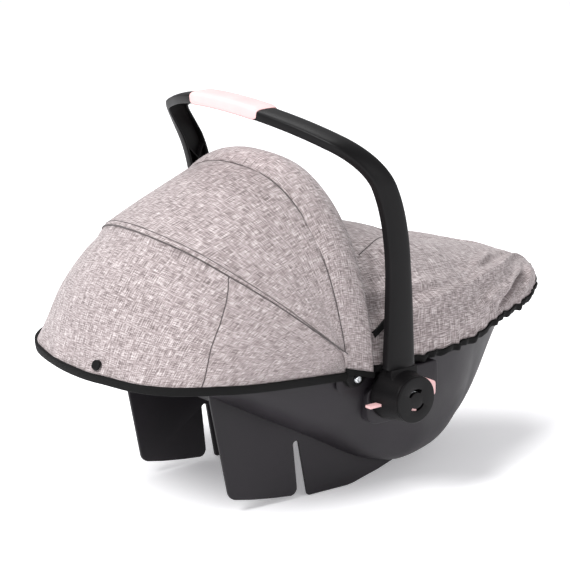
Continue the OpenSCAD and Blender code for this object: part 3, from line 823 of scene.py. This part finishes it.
def build_hem_binding():
    def line(v):
        t = math.pi * v
        wave = 0.5 * math.sin(9 * v * math.pi) + 0.8 * crease(v * 14, 0, 1, 5)
        p = hem_at(t, 1.4 + 0.3 * wave, 4.0 + 0.5 * wave)
        out = np.array([-0.75 * math.sin(t), -0.65 * math.cos(t), 0.0])
        out = out / (np.linalg.norm(out) or 1)
        return p, np.array([0.0, 0.0, 1.0]) + 0.12 * out, out * 1.5
    band = tape_strip("hood_hem_tape", 260, line, 10.5)
    face_away(band, (-100, 0, 180))
    thicken(band, 1.0)
    settle(band, "seat", twill_tape, "black_tape", "hood_binding")
    return band


# ---------------------------------------------------------------- foot cover
# Height of the cover's crown along the seat, as a share of its highest place
RIDGE = [(-60, 0.99), (-30, 0.985), (60, 0.945), (120, 0.82), (195, 0.625), (250, 0.505),
         (303, 0.385), (345, 0.28), (383, 0.12)]
# Soft folds, each a line of (x, share of the way over), with its height and width
COVER_FOLDS = [([(-10, 0.10), (41, 0.113), (126, 0.156), (245, 0.244), (330, 0.38)], 7.0, 0.024),
               ([(-10, 0.19), (49, 0.186), (115, 0.200), (193, 0.250), (260, 0.36)], 4.5, 0.022),
               ([(299, 0.175), (256, 0.100), (215, 0.030)], -8.0, 0.020),
               ([(330, 0.20), (290, 0.06), (262, 0.02)], 5.0, 0.035),
               ([(60, 0.34), (150, 0.38), (240, 0.46)], 3.5, 0.040),
               ([(-10, 0.88), (60, 0.87), (140, 0.83), (250, 0.74), (330, 0.60)], 6.5, 0.026),
               ([(0, 0.79), (90, 0.77), (190, 0.70), (270, 0.60)], 4.0, 0.026),
               ([(305, 0.83), (250, 0.91), (210, 0.97)], -7.0, 0.020),
               ([(150, 0.06), (200, 0.10), (240, 0.12)], 3.0, 0.020)]


# The cover runs on under the hood's front edge, inside the rim
COVER_START, TUCK_FROM, TUCK_RUN = -58, -22, 34
HEM_Z, RIDGE_H, COVER_OUT = 171.5, 134, 3.5


def tucked(x):
    return ease((TUCK_FROM - x) / TUCK_RUN)


def hem_height(x):
    return HEM_Z + 11 * ease((x - 150) / 65) + 22 * tucked(x)


def cover_v(x):
    return math.asin((x - COVER_START) / (COVER_REACH - COVER_START)) * 2 / math.pi


def cover_at(u, v, out=0.0):
    """u goes over from the right hem to the left, v from the rear edge to the toe."""
    x = mix(COVER_START, COVER_REACH, math.sin(math.pi / 2 * v))
    t = math.pi * u
    half = max(TOE_TIP, (COVER_HALF + COVER_OUT) * cover_plan(x)) - 9 * tucked(x)
    hem = hem_height(x)
    rise = RIDGE_H * smooth_list(RIDGE, x) - (hem - 172) * 0.6
    y, z = -half * spow(math.cos(t), 2 / 2.4), hem + rise * spow(math.sin(t), 2 / 2.4)
    lift = out
    for line, high, wide in COVER_FOLDS:
        line = sorted(line)
        k = (x - line[0][0]) / (line[-1][0] - line[0][0])
        if -0.2 < k < 1.2:
            over = u - np.interp(x, [q[0] for q in line], [q[1] for q in line])
            d = over * (1 if u < 0.5 else -1) / wide
            fade = ease((k + 0.2) / 0.35) * ease((1.2 - k) / 0.35)
            lift += high * fade * (math.exp(-d * d) - 0.5 * math.exp(-((d - 1.9) / 1.1) ** 2))
    edge = min(u, 1 - u)
    gather = math.exp(-edge / 0.035)
    along = x / 3.4
    pleat = 1 + 1.3 * math.exp(-((x - 100) / 35) ** 2)
    ruffle = 1.3 * math.sin(along + 3 * crease(x / 40, 0, 1, 2)) + 0.8 * math.sin(0.43 * along + 1)
    lift += gather * pleat * ruffle
    lift += 3.0 * crease(x / 60, u * 7, 1.0, 9.4) + 1.0 * crease(x / 18, u * 20, 1.0, 4.2)
    tip = ease((x - 330) / 50)
    lift *= 1 - 0.5 * tip
    side = np.array([0.35 * ease((x - 60) / 300), -math.cos(t), 0.75 * math.sin(t) + 0.15])
    side = side / np.linalg.norm(side)
    p = np.array([x, y, z]) + lift * side
    p[2] += 1.1 * gather * math.sin(along * 0.7)
    return p


def build_foot_cover():
    cover = cloth_grid("foot_cover_cloth", 200, 150, cover_at)
    face_away(cover, (120, 0, 170))
    thicken(cover, 1.6)
    settle(cover, "seat", melange_linen, "melange_linen", "foot_cover")

    def line(v):
        over = 1 if v > 0.5 else 0
        k = 1 - abs(2 * v - 1)
        p = cover_at(float(over), k)
        wave = math.sin(p[0] / 2.6)
        t = 1 if over else -1
        out = np.array([0.3 + 0.7 * ease((p[0] - 200) / 180), t, 0.0])
        out = out / np.linalg.norm(out)
        return p - np.array([0, 0, 3.4 + 0.5 * wave]) + out * (0.6 + 0.5 * wave), \
            np.array([0.0, 0.0, 1.0]) + 0.25 * out, out * 1.4
    band = tape_strip("cover_elastic_tape", 420, line, 8.5)
    face_away(band, (120, 0, 170))
    thicken(band, 1.0)
    settle(band, "seat", twill_tape, "black_tape", "cover_binding")
    crown = [cover_at(0.325 + 0.35 * k / 60, cover_v(10 + 108 * math.sin(math.pi * k / 60)))
             for k in range(61)]
    seam = seam_shade_line("cover_crown_seam", crown, 0.7)
    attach(seam, "seat")

    def strap_line(v):
        u, w = mix(0.070, 0.17, v), cover_v(mix(-26, 38, v))
        p, q = cover_at(u, w, 1.3), cover_at(u + 0.01, w, 1.3)
        ahead = cover_at(u + 0.01, cover_v(mix(-26, 38, v) + 6.5), 1.3) - p
        ahead = ahead / np.linalg.norm(ahead)
        out = np.cross(ahead, q - p)
        out = out / np.linalg.norm(out)
        out = out if out[1] < 0 else -out
        across = np.cross(out, ahead)
        return p, across, out
    strap = tape_strip("cover_side_tape", 30, strap_line, 8.0)
    face_away(strap, (40, 0, 170))
    thicken(strap, 0.9)
    settle(strap, "seat", twill_tape, "black_tape")
    return cover, band


# ---------------------------------------------------------------- padding and harness
def plump(obj, cap_mm, voxel_mm, pressure=4.0):
    """Fills a pad with air for twenty steps, so that it swells between its edges."""
    take(obj)
    obj.data.remesh_voxel_size = voxel_mm * MM
    bpy.ops.object.voxel_remesh()
    before = np.array([v.co[:] for v in obj.data.vertices])
    cloth = obj.modifiers.new("cloth", "CLOTH")
    cloth.settings.use_pressure = True
    cloth.settings.uniform_pressure_force = pressure
    cloth.settings.effector_weights.gravity = 0
    cloth.point_cache.frame_start, cloth.point_cache.frame_end = 1, 20
    for step in range(1, 21):
        bpy.context.scene.frame_set(step)
    dg = bpy.context.evaluated_depsgraph_get()
    after = np.array([v.co[:] for v in obj.evaluated_get(dg).data.vertices])
    bpy.context.scene.frame_set(1)
    obj.modifiers.remove(cloth)
    move = after - before
    size = np.linalg.norm(move, axis=1, keepdims=True)
    capped = before + move * np.minimum(1, cap_mm * MM / np.maximum(size, 1e-9))
    obj.data.vertices.foreach_set("co", capped.ravel())
    obj.data.update()


def box_uv(obj):
    """A UV map in metres, seen from above, for a piece whose own map was lost."""
    if "UVMap" not in obj.data.uv_layers:
        obj.data.uv_layers.new(name="UVMap")
    layer = obj.data.uv_layers["UVMap"]
    for loop in obj.data.loops:
        co = obj.data.vertices[loop.vertex_index].co
        layer.data[loop.index].uv = (co.x * 1.2, co.y + 0.6 * co.z)


COVER_IN, PAD_OUT = 27, 18.3


def seat_at(u, v):
    """Top of the padded cover: sewn channels cross the back, and a seam runs round its edge."""
    along = -math.cos(math.pi * v)
    t = math.pi * u
    x = MID_X + along * reach(along, COVER_IN)
    quilt = 2.4 * abs(math.sin(math.pi * (x + 300) / 62)) ** 0.5
    middle = math.exp(-((u - 0.5) / 0.26) ** 4)
    side = 1.2 * math.exp(-((abs(u - 0.5) - 0.27) / 0.012) ** 2)
    return bucket_at(along, t, COVER_IN - 2.2 + quilt * middle - side)


def build_seat_padding():
    foam = copy_of("foam_liner", "bead_foam_liner")
    smooth_by_angle(foam, 40)
    settle(foam, "seat", bead_foam, "bead_foam", "foam_liner")
    pad = cloth_grid("seat_pad", 90, 130, seat_at)
    face_away(pad, (-20, 0, 600))
    edit(pad, lambda: bpy.ops.mesh.flip_normals())
    thicken(pad, 6.5)
    smooth_by_angle(pad, 50)
    settle(pad, "seat", lining_cloth, "liner_cloth", "seat_cover")


def band_at(y0, width, x_foot, x_head, rise, bow=0.0):
    def place(u, v):
        x, y = mix(x_foot, x_head, v), y0 + width * (u - 0.5)
        crown = bow * (math.sin(math.pi * u) * math.sin(math.pi * v)) ** 0.4
        return [x, y, floor_z(x, y, COVER_IN) + rise + crown]
    return place


def build_harness():
    for side, word in ((-1, "right"), (1, "left")):
        belt = cloth_grid("harness_belt_" + word, 8, 60, band_at(44 * side, 25, 18, -215, 3.2))
        thicken(belt, 1.5)
        smooth_by_angle(belt, 50)
        settle(belt, "seat", belt_webbing, "webbing", "harness_strap_" + word)
        pad = cloth_grid("shoulder_cushion_" + word, 24, 48,
                         band_at(44 * side, 46, -56, -164, 7.5, 4.5))
        thicken(pad, 5.5, 0)
        plump(pad, 2.0, 2.5)
        box_uv(pad)
        finish_with(pad, "SUBSURF", levels=1, render_levels=1)
        smooth_by_angle(pad, 60)
        settle(pad, "seat", melange_linen, "melange_linen", "shoulder_pad_" + word)
    for name, y0, width, x0, x1, rise, node in (
            ("crotch_belt", 0, 38, 132, 89, 3.2, "crotch_strap"),
            ("adjuster_belt", 0, 25, 240, 150, 5.8, "adjuster_strap")):
        belt = cloth_grid(name, 8, 30, band_at(y0, width, x0, x1, rise))
        thicken(belt, 1.5)
        smooth_by_angle(belt, 50)
        settle(belt, "seat", belt_webbing, "webbing", node)


# ---------------------------------------------------------------- assembly
build_bucket()
build_toe_rim()
for word, side in (("right", -1), ("left", 1)):
    build_skirt("runner_skirt_" + word, side)
    build_hub_seat("hub_seat_" + word, side)
build_handle()
build_grip()
for word in ("right", "left"):
    polished("handle_hub_" + word, "carry_handle", charcoal_nylon, 0.8)
    polished("hub_cap_" + word, "carry_handle", charcoal_nylon, 0.5)
    polished("release_bar_" + word, "release_" + word, blush_rubber, 0.6)
polished("pivot_bolts", "seat", zinc_steel, 0.4)
polished("lock_rings", "seat", ground_steel, 0.2)
polished("hinge_plates", "seat", charcoal_polypropylene, 0.4)
polished("hood_screws", "seat", zinc_steel, 0.3)
for bow_node, hoop_body in (("front_bow", "front_hoop"), ("rear_bow", "rear_hoop")):
    bow = polished(bow_node, hoop_body, charcoal_nylon, 0.3)
    for v in bow.data.vertices:
        if v.co.z > 0.18:  # its strips lie just inside the cloth
            v.co.y -= math.copysign(min(0.004, 0.1 * (v.co.z - 0.18)), v.co.y)
polished("snap_button", "seat", charcoal_nylon, 0.6, 3)
polished("buckle", "seat", charcoal_nylon, 1.2, 3)
polished("buckle_button", "buckle_push", red_acetal, 0.9, 3)
hood = build_hood()
build_hood_seams()
hem_tape = build_hem_binding()
cover, cover_tape = build_foot_cover()
build_seat_padding()
build_harness()

# ---------------------------------------------------------------- floor and light
deselect()
bpy.ops.mesh.primitive_plane_add(size=14, location=(0, 0, -0.0006))
floor = bpy.context.object
floor.name = "studio_floor"
# The paper glows a little, so that it stays white under the seat's shadow
paper, paper_shader = new_material("white_paper_sweep", 0.9)
paper_shader.inputs["Base Color"].default_value = linear("#fbfbfc")
paper_shader.inputs["Emission Color"].default_value = linear("#fdfcff")
paper_shader.inputs["Emission Strength"].default_value = 0.3
paint(floor, paper)

world = bpy.data.worlds.new("studio")
bpy.context.scene.world = world
world.use_nodes = True
world.node_tree.nodes["Background"].inputs["Color"].default_value = linear("#fdfdff")
world.node_tree.nodes["Background"].inputs["Strength"].default_value = 0.5


def softbox(name, place, target, size, watts):
    light = bpy.data.objects.new(name, bpy.data.lights.new(name, "AREA"))
    bpy.context.scene.collection.objects.link(light)
    light.data.shape = "DISK"
    light.data.size = size
    light.data.energy = watts
    light.location = place
    light.rotation_euler = (Vector(target) - Vector(place)).to_track_quat("-Z", "Y").to_euler()


softbox("key", (-2.6, -0.6, 2.5), (0, 0, 0.2), 1.2, 120)
softbox("fill", (1.2, -2.8, 1.2), (0, 0, 0.2), 1.8, 16)
softbox("top", (0.4, 1.0, 3.0), (0, 0, 0.2), 2.0, 60)
bpy.context.scene.view_settings.view_transform = "Standard"
